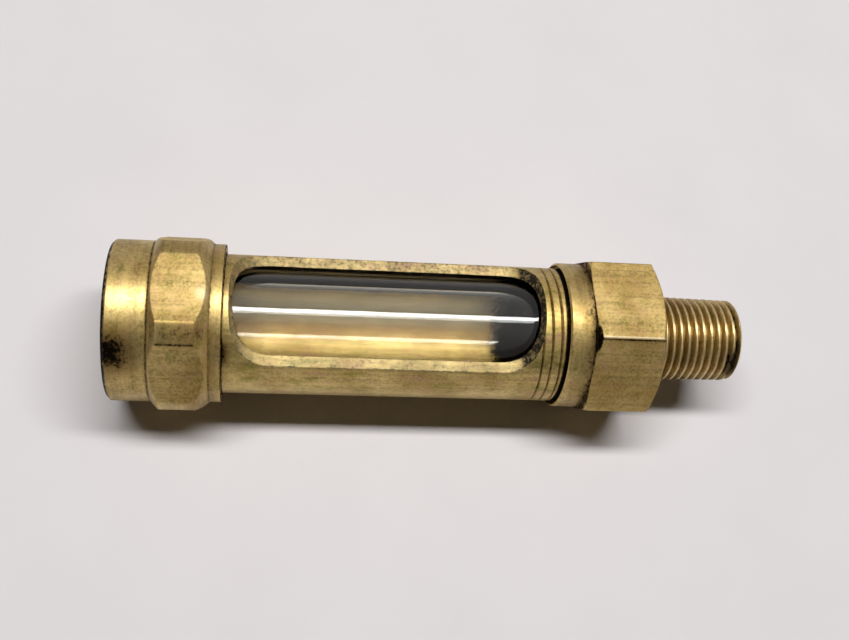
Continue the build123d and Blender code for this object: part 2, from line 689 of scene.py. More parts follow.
@dataclass(frozen=True)
class BrassFinish:
    """Aged satin brass with fine tool lines, soiled and rubbed where the piece's masks say, with painted
    shade and painted sheen laid in by the same masks.
    """

    name: str
    marks: Marks
    bright: Colour
    tarnished: Colour
    flat_marks: Marks = Marks.DRAWN
    rosy: Colour = display(186, 146, 112)
    olive: Colour = display(140, 132, 62)
    patina: Colour = display(104, 66, 16)
    # Dark colour for dirt and for painted shade.
    soil_and_shade: Colour = display(18, 12, 7)
    # Pale colour for rubbed metal and for painted sheen and pale reflections.
    rubbed_and_sheen: Colour = display(240, 228, 204)
    clouds: float = 0.6
    blotches: float = 0.45
    smear: float = 1.0
    dimming: float = 0.44
    cover: float = 0.7
    noise_span: tuple[float, float] = (0.3, 0.7)
    patchiness: tuple[float, float] = (0.5, 0.76)
    raggedness: float = 0.36
    soil_and_shade_span: tuple[float, float] = (0.2, 0.82)
    roughness: float = 0.41
    flat_roughness: float = 0.19
    cloud_roughness: float = 0.08
    soil_and_shade_roughness: float = 0.2
    line_height: float = 0.02
    line_strength: float = 0.4

    def build(self, effects: Effects) -> Material:
        """Build the material.

        The base colour goes from bright to tarnished by the cloud, then a little to rosy
        and to olive by the blotches, is dimmed by the grain and the tool lines, and ends in
        patina, soil with painted shade, and rubbed metal with painted sheen, by the masks.
        Patches and grain make the soil and painted shade ragged.

        Args:
            effects: The shared node groups.

        Returns:
            The material.
        """
        material, sheet, shader = new_material(self.name)
        place = sheet.place()
        cut, soil_and_shade, rubbed_and_sheen, patina = (
            sheet.add("ShaderNodeAttribute", attribute_name=label).outputs["Fac"] for label in MASKS
        )
        turned, flat = (
            sheet.group(effects.tool_lines, Place=place, Stretch=marks.value)["Lines"]
            for marks in (self.marks, self.flat_marks)
        )
        lines = sheet.between(cut, turned, flat)
        tarnish = sheet.group(effects.tarnish, Place=place)
        smudge = sheet.group(effects.tarnish, Place=sheet.scale(place, (self.smear, 1.0, 1.0)))
        grain = sheet.stretch(tarnish["Grain"], *self.noise_span)
        streak = sheet.stretch(lines, *self.noise_span)
        shade = sheet.plus(sheet.times(grain, 0.5), sheet.times(streak, 0.5))
        spread, least = self.patchiness
        patchy = sheet.times(soil_and_shade, sheet.plus(sheet.times(tarnish["Patches"], spread), least))
        ragged = sheet.times(sheet.math("SUBTRACT", grain, 0.5), self.raggedness)
        soiled_and_shaded = sheet.stretch(sheet.plus(patchy, ragged), *self.soil_and_shade_span)
        colour = sheet.mix(sheet.times(tarnish["Cloud"], self.clouds), self.bright, self.tarnished)
        for label, tone in (("Rosy", self.rosy), ("Olive", self.olive)):
            colour = sheet.mix(sheet.times(smudge[label], self.blotches), colour, tone)
        colour = sheet.mix(self.dimming, colour, sheet.stretch(shade, 0.0, 0.8), "MULTIPLY")
        colour = sheet.mix(sheet.times(patina, self.cover), colour, self.patina)
        # The dark soil colour also paints shade where the masks hold it.
        colour = sheet.mix(soiled_and_shaded, colour, self.soil_and_shade)
        # The pale rubbed colour also paints sheen and pale reflections where the masks hold them.
        colour = sheet.mix(sheet.times(rubbed_and_sheen, self.cover), colour, self.rubbed_and_sheen)
        rough = sheet.plus(
            sheet.times(cut, self.flat_roughness),
            self.roughness,
            sheet.times(tarnish["Cloud"], self.cloud_roughness),
            sheet.times(soiled_and_shaded, self.soil_and_shade_roughness),
        )
        height = sheet.plus(lines, sheet.times(tarnish["Grain"], 0.5))
        relief = {"Strength": self.line_strength, "Distance": self.line_height * MM, "Height": height}
        normal = sheet.add("ShaderNodeBump", relief).outputs[0]
        looks = {"Base Color": colour, "Metallic": 1.0, "Roughness": rough, "Normal": normal}
        sheet.feed(shader.inputs, looks)
        return material


@dataclass(frozen=True)
class GlassFinish:
    """Clear glass with a faint film on it."""

    name: str = "clear_tube_glass"
    tint: Colour = (0.97, 0.985, 0.975)
    film: Colour = (0.9, 0.91, 0.89)
    film_share: float = 0.5
    film_roughness: float = 0.04
    shadow_cleared: float = 0.9
    refraction: float = 1.5

    def build(self, effects: Effects) -> Material:
        """Build the material: a cloudy film over the tint, and little shadow.

        Args:
            effects: The shared node groups.

        Returns:
            The material.
        """
        material, sheet, shader = new_material(self.name)
        cloud = sheet.group(effects.tarnish, Place=sheet.place())["Cloud"]
        film = sheet.times(cloud, self.film_share)
        shadow = sheet.add("ShaderNodeLightPath").outputs["Is Shadow Ray"]
        looks = {
            "Base Color": sheet.mix(film, self.tint, self.film),
            "Roughness": sheet.times(film, self.film_roughness),
            "Alpha": sheet.math("SUBTRACT", 1.0, sheet.times(shadow, self.shadow_cleared)),
            "IOR": self.refraction,
            "Transmission Weight": 1.0,
        }
        sheet.feed(shader.inputs, looks)
        return material


@dataclass(frozen=True)
class RubberFinish:
    """Matt black rubber with a dusty grain."""

    name: str = "gasket_rubber"
    black: Colour = (0.012, 0.012, 0.012)
    dust: Colour = (0.05, 0.047, 0.043)
    roughness: float = 0.75

    def build(self, effects: Effects) -> Material:
        """Build the material.

        Args:
            effects: The shared node groups.

        Returns:
            The material.
        """
        material, sheet, shader = new_material(self.name)
        grain = sheet.group(effects.tarnish, Place=sheet.place())["Grain"]
        colour = sheet.mix(grain, self.black, self.dust)
        sheet.feed(shader.inputs, {"Base Color": colour, "Roughness": self.roughness})
        return material


@dataclass(frozen=True)
class FloorFinish:
    """Pale matt floor, faintly mottled, that looks evenly lit far from the gauge."""

    name: str = "pale_floor"
    pale: Colour = display(233, 229, 229)
    mottle: Colour = display(226, 221, 222)
    mottle_scale: float = 60.0
    roughness: float = 0.9
    gloss: float = 0.1
    near: float = 0.09
    far: float = 0.3
    far_light: Colour = display(227, 222, 222)

    def build(self) -> Material:
        """Build the material, which goes over to plain far light from near to far.

        Returns:
            The material.
        """
        material, sheet, shader = new_material(self.name)
        place = sheet.place()
        colour = sheet.mix(sheet.noise(place, self.mottle_scale, 3.0), self.pale, self.mottle)
        looks = {"Base Color": colour, "Roughness": self.roughness, "Specular IOR Level": self.gloss}
        sheet.feed(shader.inputs, looks)
        away = sheet.add("ShaderNodeVectorMath", {0: place}, operation="LENGTH").outputs["Value"]
        share = sheet.times(sheet.stretch(away, self.near, self.far), sheet.seen())
        even = sheet.add("ShaderNodeEmission", {"Color": (*self.far_light, 1.0), "Strength": 1.0})
        both = sheet.add("ShaderNodeMixShader", {0: share, 1: shader.outputs[0], 2: even.outputs[0]})
        output = material.node_tree.nodes["Material Output"]
        sheet.feed(output.inputs, {"Surface": both.outputs[0]})
        return material


# ---- Sub-assemblies ----


@dataclass
class Fitting(Part):
    """What the two fittings share: hexagon, thread, passage, and the socket for the barrel.

    Each gives its own bar, threaded, profile, shape and wear.
    """

    hexagon: Hexagon = Hexagon(9.525)
    thread: Thread = Thread(0.55)
    per_flat: int = 56
    mouth_radius: float = 8.35
    mouth_depth: float = 0.6
    socket_radius: float = 8.05
    passage_radius: float = 3.0
    skin: float = 0.5
    cut_margin: float = 0.015
    bar_step: float = 0.09

    def outside(self, at: Turned) -> Array:
        """Say where a surface is the fitting's outside, well away from its socket."""
        return at.radius > self.socket_radius + self.skin

    def flats(self, at: Turned) -> Array:
        """Say where a turned surface is cut away by the hexagon's flats."""
        return self.outside(at) & (self.hexagon.reach(at.angles) < at.radius - self.cut_margin)

    def hexagonal(self, at: Turned, above: float) -> Array:
        """Give the soft smaller of a surface and the hexagon where the surface is above a radius."""
        reach = soft_min(at.radius, self.hexagon.reach(at.angles), self.hexagon.softness)
        return np.where(at.radius > above, reach, at.radius)

    def build(self, material: Material) -> Piece:
        """Turn the profile, cut it to the hexagon and cut the thread.

        Args:
            material: Material of the fitting.

        Returns:
            The piece.
        """
        loop = self.profile().loop()
        loop = fill_in(loop, *self.bar(), self.socket_radius + self.skin, self.bar_step)
        loop = fill_in(loop, *self.threaded())
        at = Turned(loop[:, :1], loop[:, 1:], self.hexagon.angles(self.per_flat)[None, :])
        made = Turned(at.along, self.shape(at), at.angles)
        return self.finish([self.closed(made, self.wear(at))], material)


@dataclass
class PortFitting(Fitting):
    """Fitting with the female pipe thread: collar, hexagon and ring."""

    thread_radius: float = 4.375
    thread_depth: float = 6.0
    countersink: float = 0.7
    collar_length: float = 4.7
    collar_radius: float = 9.19
    collar_edge: float = 0.4
    corner_radius: float = 10.348
    collar_chamfer: float = 1.05
    ring_chamfer: float = 1.44
    ring_length: float = 1.3
    ring_radius: float = 9.1
    socket_depth: float = 4.9
    # Painted dark reflection on the collar's front, with a darker heart.
    painted_dark_reflection: Spot = Spot(1.0, 1.4, 4.2, 46, 28)
    painted_dark_reflection_heart: Spot = Spot(0.36, 0.9, 2.0, 45, 13)
    # Painted dark reflection on the face's rim, and painted shade at the ring's rim by the barrel.
    face_rim: Spot = Spot(0.9, 0.1, 0.5)
    ring_rim: Spot = Spot(0.8, 0.0, 0.14)
    # Dirt and painted shade in the creases beside the hexagon.
    collar_corner: Spot = Spot(0.55, 0.02, 0.3)
    ring_corner: Spot = Spot(0.45, 0.0, 0.24)
    nick: Spot = Spot(0.6, -0.9, 0.9, 4, 6)
    front_land: Spot = Spot(0.42, bearing=30, half_bearing=13)
    # Painted dark reflection on the far land.
    far_land: Spot = Spot(0.3, bearing=-30, half_bearing=20)
    front_flat: Spot = Spot(0.12, bearing=60, half_bearing=34)
    # Painted dark reflection on the far flat.
    far_flat: Spot = Spot(0.35, bearing=-62, half_bearing=34)
    flat_line: Spot = Spot(0.8, bearing=60.2, half_bearing=1.3)

    def bar(self) -> tuple[float, float]:
        """Ends of the hexagon along the axis."""
        return self.start + self.collar_length, self.end - self.ring_length

    def threaded(self) -> tuple[float, float, float, float]:
        """Ends of the thread, the radius it stays above, and the step between its rows."""
        mouth = self.start + self.countersink
        return mouth, mouth + self.thread_depth, 0.0, self.thread.pitch / 9

    def profile(self) -> Profile:
        """Outline of the fitting.

        Returns:
            The outside from the port's face to the ring, then back inside.
        """
        face, end = self.start, self.end
        low, high = self.bar()
        seat, mouth = end - self.socket_depth, end - self.mouth_depth
        bottom = self.threaded()[1]
        corners = (
            (face, self.thread_radius + self.countersink, 0.06, 4),
            (face, self.collar_radius - self.collar_edge, 0.12, 5),
            (face + self.collar_edge, self.collar_radius, 0.12, 5),
            (low, self.collar_radius, 0.05, 3),
            (low + self.collar_chamfer, self.corner_radius, 0.05, 3),
            (high - self.ring_chamfer, self.corner_radius, 0.05, 3),
            (high, self.ring_radius, 0.08, 4),
            (end, self.ring_radius, 0.12, 5),
            (end, self.mouth_radius, 0.04, 2),
            (mouth, self.mouth_radius, 0.03, 1),
            (mouth, self.socket_radius, 0.03, 1),
            (seat, self.socket_radius, 0.05, 1),
            (seat, self.passage_radius, 0.05, 2),
            (bottom, self.passage_radius, 0.05, 2),
            (bottom, self.thread_radius, 0.05, 2),
            (face + self.countersink, self.thread_radius, 0.05, 2),
        )
        return Profile(corners)

    def shape(self, at: Turned) -> Array:
        """Cut the hexagon, and add the thread's groove to the radius in the port.

        The groove fades in from the face and out at the port's bottom.

        Args:
            at: The turned profile.

        Returns:
            Distances from the axis.
        """
        port = (at.radius > self.passage_radius + 0.2) & (at.radius < self.thread_radius + 0.05)
        fade = span(at.along, self.start, self.threaded()[1], 0.9, 0.8)
        groove = fade * self.thread.cut(at.along, at.angles)
        return self.hexagonal(at, self.socket_radius + self.skin) + np.where(port, groove, 0)

    def wear(self, at: Turned) -> Wear:
        """Place the fitting's soil, painted shade, painted dark reflections, patina and one pale nick.

        Dirt and painted shade are in the creases beside the hexagon, and painted shade and
        dark reflection on the rims. The lands between two pairs of flats are darkened, the far
        one as a painted dark reflection, and so is the far flat. A line down one edge of the
        front flat is darkened, and a painted dark reflection lies on the collar's front.
        Patina is round that painted reflection, in the corners and on the front flat.

        Args:
            at: The turned profile.

        Returns:
            The masks.
        """
        low, high = self.bar()
        outside, cut = self.outside(at), self.flats(at)
        flat_half = math.degrees(math.acos(self.hexagon.flat_radius / self.corner_radius))
        # Painted dark reflection on the collar's front, laid into both soil and patina.
        painted_dark_reflection = self.painted_dark_reflection.on(at, self.start)
        # Dirt and painted shade in the creases; painted shade and dark reflection on the rims.
        corners = self.collar_corner.on(at, low) + self.ring_corner.on(at, high)
        rims = self.face_rim.on(at, self.start) + self.ring_rim.on(at, self.end)
        # The far land gets a painted dark reflection; the front land is darkened too.
        land = outside & ~cut & (at.along > low + 0.5) & (at.along < high - 0.5)
        land = land * (self.front_land.on(at) + self.far_land.on(at))
        on_flat = span(at.along, low + 0.9, high - 1.3, 0.3, 0.3)
        soil_and_shade = highest(
            0.6 * painted_dark_reflection + self.painted_dark_reflection_heart.on(at, self.start),
            # A painted dark reflection on the far flat.
            on_flat * self.far_flat.on(at),
            on_flat * self.flat_line.on(at, turn=-flat_half),
            corners + rims,
            land,
        )
        patina = highest(painted_dark_reflection, cut * self.front_flat.on(at), 0.5 * land + corners)
        return Wear(cut, outside * soil_and_shade, self.nick.on(at, high), outside * patina)


@dataclass
class StemFitting(Fitting):
    """Fitting with the male pipe thread: ring, hexagon and stem."""

    hexagon: Hexagon = Hexagon(8.73, -6.6)
    thread: Thread = Thread(0.58, crest_flat=0.28)
    per_flat: int = 48
    socket_depth: float = 7.73
    ring_length: float = 2.88
    ring_radius: float = 8.65
    ring_edge: float = 0.2
    hexagon_length: float = 8.4
    ring_chamfer: float = 0.35
    stem_chamfer: float = 0.8
    chamfer_slope: float = 1.73
    stem_radius: float = 5.1
    stem_foot: float = 0.35
    nose_rounding: float = 1.1
    taper: float = 1 / 64
    # Painted shade: a black patch at the hexagon's front corner beside the ring.
    corner_shade: Spot = Spot(1.5, 0.2, 0.42, 1, 13)
    # Dirt and painted shade in the corner beside the ring; painted shade on the ring's rim.
    ring_corner: Spot = Spot(0.6, 0.0, 0.2)
    ring_rim: Spot = Spot(0.9, 0.0, 0.12)
    foot: Spot = Spot(1.2, 1.1, 0.9, 54, 24)
    tip: Spot = Spot(1.0, -1.1, 0.9, 58, 42)
    # A painted dark band round the nose, and a painted pale reflection on its rim.
    nose: Spot = Spot(0.4, -0.85, 0.5)
    nose_rim: Spot = Spot(0.6, 0.0, 0.4)
    front_edge: Spot = Spot(1.0, bearing=0, half_bearing=12)
    front_flat: Spot = Spot(0.25, bearing=30, half_bearing=34)
    # Painted dark reflection on the far flat.
    far_flat: Spot = Spot(0.38, bearing=-93, half_bearing=34)

    def bar(self) -> tuple[float, float]:
        """Ends of the hexagon along the axis."""
        low = self.start + self.ring_length
        return low, low + self.hexagon_length

    def threaded(self) -> tuple[float, float, float, float]:
        """Ends of the thread, the radius it stays above, and the step between its rows."""
        return self.bar()[1], self.end, self.passage_radius + self.skin, self.thread.pitch / 11

    def on_stem(self, at: Turned, past: float) -> Array:
        """Say where a surface is the stem's outside, some way past the hexagon."""
        return (at.along > self.bar()[1] + past) & (at.radius > self.passage_radius + 0.3)

    def profile(self) -> Profile:
        """Outline of the fitting.

        Returns:
            The outside from the ring to the nose, then back inside.
        """
        face, end = self.start, self.end
        low, high = self.bar()
        seat, mouth = face + self.socket_depth, face + self.mouth_depth
        corner = self.hexagon.flat_radius / math.cos(SIXTH / 2)
        corners = (
            (face, self.mouth_radius, 0.03, 2),
            (face, self.ring_radius - self.ring_edge, 0.04, 3),
            (face + self.ring_edge, self.ring_radius, 0.08, 4),
            (low, self.ring_radius, 0.05, 3),
            (low, corner - self.chamfer_slope * self.ring_chamfer, 0.05, 4),
            (low + self.ring_chamfer, corner, 0.05, 3),
            (high - self.stem_chamfer, corner, 0.05, 3),
            (high, corner - self.chamfer_slope * self.stem_chamfer, 0.07, 4),
            (high, self.stem_radius - self.stem_foot, 0.06, 3),
            (high + self.stem_foot, self.stem_radius, 0.1, 2),
            (end, self.stem_radius, self.nose_rounding, 14),
            (end, self.passage_radius, 0.08, 3),
            (seat, self.passage_radius, 0.05, 1),
            (seat, self.socket_radius, 0.05, 1),
            (mouth, self.socket_radius, 0.03, 1),
            (mouth, self.mouth_radius, 0.03, 1),
        )
        return Profile(corners)

    def groove(self, at: Turned) -> Array:
        """Give the depth of the thread's groove, which fades in past the hexagon."""
        high = self.bar()[1]
        return self.thread.cut(at.along, at.angles) * ease(at.along, high, high + 0.5)

    def shape(self, at: Turned) -> Array:
        """Cut the hexagon and the stem's thread.

        On the stem the distance from the axis is the soft smaller of the profile's and the
        thread's, whose crests draw in by the taper towards the nose.

        Args:
            at: The turned profile.

        Returns:
            Distances from the axis.
        """
        shaped = self.hexagonal(at, self.ring_radius + 0.02)
        crest = self.stem_radius - (at.along - self.bar()[1]) * self.taper
        threaded = soft_min(shaped, crest - self.groove(at), 0.05)
        return np.where(self.on_stem(at, 0.01), threaded, shaped)

    def wear(self, at: Turned) -> Wear:
        """Place the fitting's soil, painted shade, painted reflections, patina and rubbed metal.

        Dirt and painted shade are in the corner beside the ring and in the thread's roots, and
        painted shade is on the ring's rim, in a black patch at the hexagon's front corner and in
        a band round the nose. A line at the hexagon's front corner and the thread's foot and
        tip are darkened, and the far flat has a painted dark reflection. The front corner is
        rubbed, the thread's crests are rubbed and brightened as painted sheen, and the nose's
        rim has a painted pale reflection. Patina is in the roots, in the corner and on the
        front flat.

        Args:
            at: The turned profile.

        Returns:
            The masks.
        """
        low, high = self.bar()
        corner = self.hexagon.turn + 30
        outside, cut, on_stem = self.outside(at), self.flats(at), self.on_stem(at, 0.02)
        on_hexagon = outside & (at.along > low) & (at.along < high)
        edge = on_hexagon * (self.front_edge.on(at, turn=corner) > 0)
        gap = self.hexagon.corner_gap(at.angles)
        root = self.groove(at) / self.thread.depth
        # Painted shade at the hexagon's front corner beside the ring.
        corner_shade = self.corner_shade.on(at, low, corner) * ease(at.along, low - 0.06, low + 0.02)
        # Dirt and painted shade in the corner beside the ring; painted shade on the ring's rim by the
        # barrel.
        corners = self.ring_corner.on(at, low) + self.ring_rim.on(at, self.start)
        tip = self.tip.on(at, self.end)
        # Dirt and painted shade in the thread's roots, and a painted dark band round the nose.
        thread = 0.24 * ease(root, 0.4, 0.95) + root * self.foot.on(at, high)
        thread = thread + 0.7 * tip + self.nose.on(at, self.end)
        soil_and_shade = highest(
            outside * (corners + corner_shade),
            # A painted dark reflection on the far flat.
            on_hexagon * self.far_flat.on(at, turn=corner),
            0.85 * edge * bump(gap, 0.25, 0.2),
            on_stem * thread,
        )
        # The nose's rim, which gets a painted pale reflection below.
        nose_rim = ease(at.radius, self.stem_radius - 1.1, self.stem_radius - 0.7)
        rubbed_and_sheen = highest(
            0.6 * edge * bump(gap, -0.04, 0.2) * (1 - np.clip(corner_shade, 0, 1)),
            # Rubbed crests, brightened as painted sheen too.
            0.24 * on_stem * (1 - ease(root, 0.0, 0.4)) * (1 - tip),
            # A painted pale reflection on the nose's rim.
            self.nose_rim.on(at, self.end) * nose_rim,
        )
        patina = highest(
            0.65 * on_stem * ease(root, 0.35, 0.95),
            outside * corners,
            cut * self.front_flat.on(at, turn=corner),
        )
        return Wear(cut, soil_and_shade, rubbed_and_sheen, patina)


@dataclass
class WindowBarrel(Part):
    """Thin tube with a sight window milled from above."""

    outer_radius: float = 8.0
    wall: float = 1.05
    floor_height: float = 4.25
    cutter_radius: float = 4.9
    port_margin: float = 0.6
    stem_margin: float = 2.67
    port_end: float = 0.0
    stem_start: float = 0.0
    around: int = 185
    across: int = 11
    groove_pitch: float = 1.07
    groove_depth: float = 0.16
    groove_half: float = 0.2
    first_groove: float = 2.5
    last_groove: float = 0.3
    relief_edge: float = 0.1
    weld: float = 1e-4
    sharp: float = 30.0
    port_smudge: Spot = Spot(1.0, 0.0, 1.5, 47, 16)
    # Painted shade in a thin line where the barrel goes into the port's ring.
    port_seam: Spot = Spot(0.8, 0.0, 0.2)
    # Painted sheen: a pale band on the bore's far wall.
    bore_shine: Spot = Spot(1.0, bearing=-124, half_bearing=34)
    bore_patina: Spot = Spot(1.0, bearing=-160, half_bearing=30)
    front_patina: Spot = Spot(0.5, bearing=172, half_bearing=32)

    def __post_init__(self) -> None:
        """Read where the two fittings cover the barrel."""
        super().__post_init__()
        self.port_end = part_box("port_fitting")[1].x / MM
        self.stem_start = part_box("stem_fitting")[0].x / MM

    def run_out(self, radius: float) -> float:
        """Length of the cutter's arc along the axis, from the flat floor up to a radius."""
        rise = radius - self.floor_height
        return math.sqrt(self.cutter_radius**2 - (self.cutter_radius - rise) ** 2)

    def places(self) -> Array:
        """Places along the axis of the barrel's sections.

        They are a half cosine apart between the places where the cutter leaves the floor,
        the bore and the outside, so they crowd where the window's edge turns.

        Returns:
            Places in millimetres, rising.
        """
        outer, inner = self.run_out(self.outer_radius), self.run_out(self.outer_radius - self.wall)
        left, right = self.window()
        stops = [self.start, self.port_end - 0.5, left, left + outer - inner, left + outer]
        stops += [right - outer, right - outer + inner, right, self.stem_start - self.last_groove]
        stops += [self.stem_start + 0.6, self.end]
        counts = [2, 16, 40, 30, 16, 30, 40, 60, 10, 4]
        spans = [
            low + (high - low) * (1 - np.cos(np.pi * np.arange(count) / count)) / 2
            for low, high, count in zip(stops[:-1], stops[1:], counts)
        ]
        return np.concatenate([*spans, [self.end]])

    def window(self) -> tuple[float, float]:
        """Ends of the window along the axis, at the barrel's outside."""
        return self.port_end + self.port_margin, self.stem_start - self.stem_margin

    def past(self, along: Array) -> Array:
        """Give how far places are past the window's level part.

        Args:
            along: Places along the axis.

        Returns:
            Distances in millimetres, from 0 up to the run-out at the barrel's outside.
        """
        left, right = self.window()
        outer = self.run_out(self.outer_radius)
        return np.clip(np.maximum(left + outer - along, along - right + outer), 0, outer)

    def floor(self, along: Array) -> Array:
        """Height of the milled floor: floor + r - sqrt(r^2 - d^2), r the cutter's and d how far past."""
        radius = self.cutter_radius
        return self.floor_height + radius - np.sqrt(radius**2 - self.past(along) ** 2)

    def sheet(self, radius: float) -> Turned:
        """Give the barrel's outside or bore, from one edge of the window round to the other.

        The window's edge is at the angle whose cosine is the floor's height over the radius.

        Args:
            radius: Radius of the sheet.

        Returns:
            The surface, one row for each place along the axis.
        """
        along = self.places()[:, None]
        edge = np.arccos(np.clip(self.floor(along) / radius, -1, 1))
        angles = edge + np.linspace(0, 1, self.around) * (TURN - 2 * edge)
        return Turned(along, np.full(angles.shape, radius), angles)

    def relief(self, along: Array, past: float) -> Array:
        """Give the turned-down neck before the ring, easing in from some way past its start."""
        start = self.stem_start - self.last_groove + past
        return ease(along, start, start + self.relief_edge)

    def grooves(self, at: Turned) -> Array:
        """Give the depth of the thread's last turns, 0 on the ridges and 1 in the grooves.

        A groove is a bump across the nearest of places a pitch apart, which move along by
        a pitch for each turn. The first is a set way before the ring, and the whole barrel
        is turned down just before the ring.

        Args:
            at: The barrel's outside.

        Returns:
            Depths, one row for each place.
        """
        begin = self.stem_start - self.first_groove
        half = self.groove_pitch / 2
        way = at.along - begin - self.groove_pitch * (at.angles / TURN - 0.5)
        away = (way + half) % self.groove_pitch - half
        thin = np.where(way > -half, bump(away, 0.0, self.groove_half), 0)
        return np.maximum(thin, self.relief(at.along, -self.relief_edge))

    def build(self, material: Material) -> Piece:
        """Join the outside, the bore, the two milled strips and the two end faces.

        A strip is straight across from the outside's edge to the bore's, with its points
        a half cosine apart, and never falls towards the bore.

        Args:
            material: Material of the barrel.

        Returns:
            The piece.
        """
        skin, bore = self.sheet(self.outer_radius), self.sheet(self.outer_radius - self.wall)
        ridged = Turned(skin.along, skin.radius - self.groove_depth * self.grooves(skin), skin.angles)
        outer, inner = self.round_axis(ridged), self.round_axis(bore)
        quads = grid_quads(len(outer), self.around, False, False)
        patches = [(outer, quads, self.wear(skin)), (inner, quads[:, ::-1], self.bore_wear(bore))]
        left, right = self.window()
        cut = (skin.along[:, 0] > left - 1e-6) & (skin.along[:, 0] < right + 1e-6)
        share = (1 - np.cos(np.linspace(0, np.pi, self.across))[None, :, None]) / 2
        quads = grid_quads(int(cut.sum()), self.across, False, False)
        for side, order, least in ((0, -1, 0.3), (-1, 1, 0.38)):
            outer_edge, inner_edge = outer[cut, side][:, None], inner[cut, side][:, None].copy()
            inner_edge[..., 2] = np.maximum(inner_edge[..., 2], outer_edge[..., 2])
            strip = outer_edge + share * (inner_edge - outer_edge)
            wear = self.strip_wear(skin.along[cut], share[..., 0], least)
            patches.append((strip, quads[:, ::order], wear))
        for row, order in ((0, 1), (-1, -1)):
            quads = grid_quads(2, self.around, False, False)[:, ::order]
            patches.append((np.stack([inner[row], outer[row]]), quads, Wear()))
        return self.finish(patches, material)

    def strip_wear(self, along: Array, share: Array, least: float) -> Wear:
        """Darken a milled strip at both its ends with painted shade, and in a line at each edge.

        The line at the bore's edge is only where the cutter runs out of the floor.

        Args:
            along: Places along the axis, as a column.
            share: Share of the way from the outside's edge to the bore's, as a row.
            least: Soil all over the strip.

        Returns:
            The masks.
        """
        left, right = self.window()
        past = self.past(along) / self.run_out(self.outer_radius)
        # Painted shade darkens both ends of the strip.
        at_end = 0.7 * ease(along, right - 3.2, right - 2.0)
        at_end = at_end + 0.4 * (1 - ease(along, left + 0.8, left + 2.4))
        line = 0.55 * (1 - ease(share, 0.0, 0.14)) + 0.6 * ease(share, 0.75, 1.0) * ease(past, 0.1, 0.5)
        return Wear(1.0, highest(line, at_end, least), 0.16 * (1 - at_end))

    def bore_wear(self, at: Turned) -> Wear:
        """Soil the bore lightly all over, and paint it black with shade behind both edges and at the
        stem's end.

        One band of it is painted pale as a painted sheen and two are browned by patina.

        Args:
            at: The bore.

        Returns:
            The masks.
        """
        right = self.window()[1]
        from_edge = math.pi - at.angles[:, :1] - np.abs(at.angles - math.pi)
        # Painted shade: black behind both edges of the window and towards the stem's end.
        below_edge = 1 - ease(np.abs(from_edge), 0.55, 0.9)
        stem_end = ease(at.along, right - 5.5, right - 1.0)
        soil_and_shade = highest(1.2 * below_edge, 1.2 * stem_end, 0.2)
        patina = highest(self.bore_patina.on(at), self.front_patina.on(at))
        # A painted sheen, through the rubbed mask, on one band of the bore.
        return Wear(0.5, soil_and_shade, self.bore_shine.on(at) * (1 - stem_end), patina)

    def wear(self, at: Turned) -> Wear:
        """Darken the grooves of the last turns with dirt and painted shade, paint shade in the neck
        before the ring and in a line at the port's ring, and soil a smudge by the port.

        Patina is in the same grooves and in the smudge by the port.

        Args:
            at: The barrel's outside.

        Returns:
            The masks.
        """
        groove = self.grooves(at)
        smudge = self.port_smudge.on(at, self.port_end)
        # Painted shade in a thin line where the barrel goes into the port's ring.
        by_port = 0.6 * smudge + self.port_seam.on(at, self.port_end)
        # Dirt and painted shade in the grooves, and painted shade in the neck under the stem's ring.
        soil_and_shade = highest(0.5 * groove, self.relief(at.along, 0.0), by_port)
        return Wear(0.0, soil_and_shade, 0.0, np.maximum(0.8 * groove, smudge))


@dataclass(kw_only=True)
class PlainRing(Part):
    """Ring with rounded edges, for the glass tube and the gaskets."""

    inner_radius: float
    outer_radius: float
    edge: float = 0.15
    edge_steps: int = 5
    around: int = 360
    sharp: float = 60.0

    def build(self, material: Material) -> Piece:
        """Turn a rectangle with rounded corners about the axis.

        Args:
            material: Material of the ring.

        Returns:
            The piece.
        """
        low, high, inner, outer = self.start, self.end, self.inner_radius, self.outer_radius
        corners = ((low, inner), (low, outer), (high, outer), (high, inner))
        loop = Profile(tuple((*corner, self.edge, self.edge_steps) for corner in corners)).loop()
        angles = np.arange(self.around) / self.around * TURN
        at = Turned(loop[:, :1], loop[:, 1:], angles[None, :])
        return self.finish([self.closed(at, Wear())], material)


# ---- Studio ----


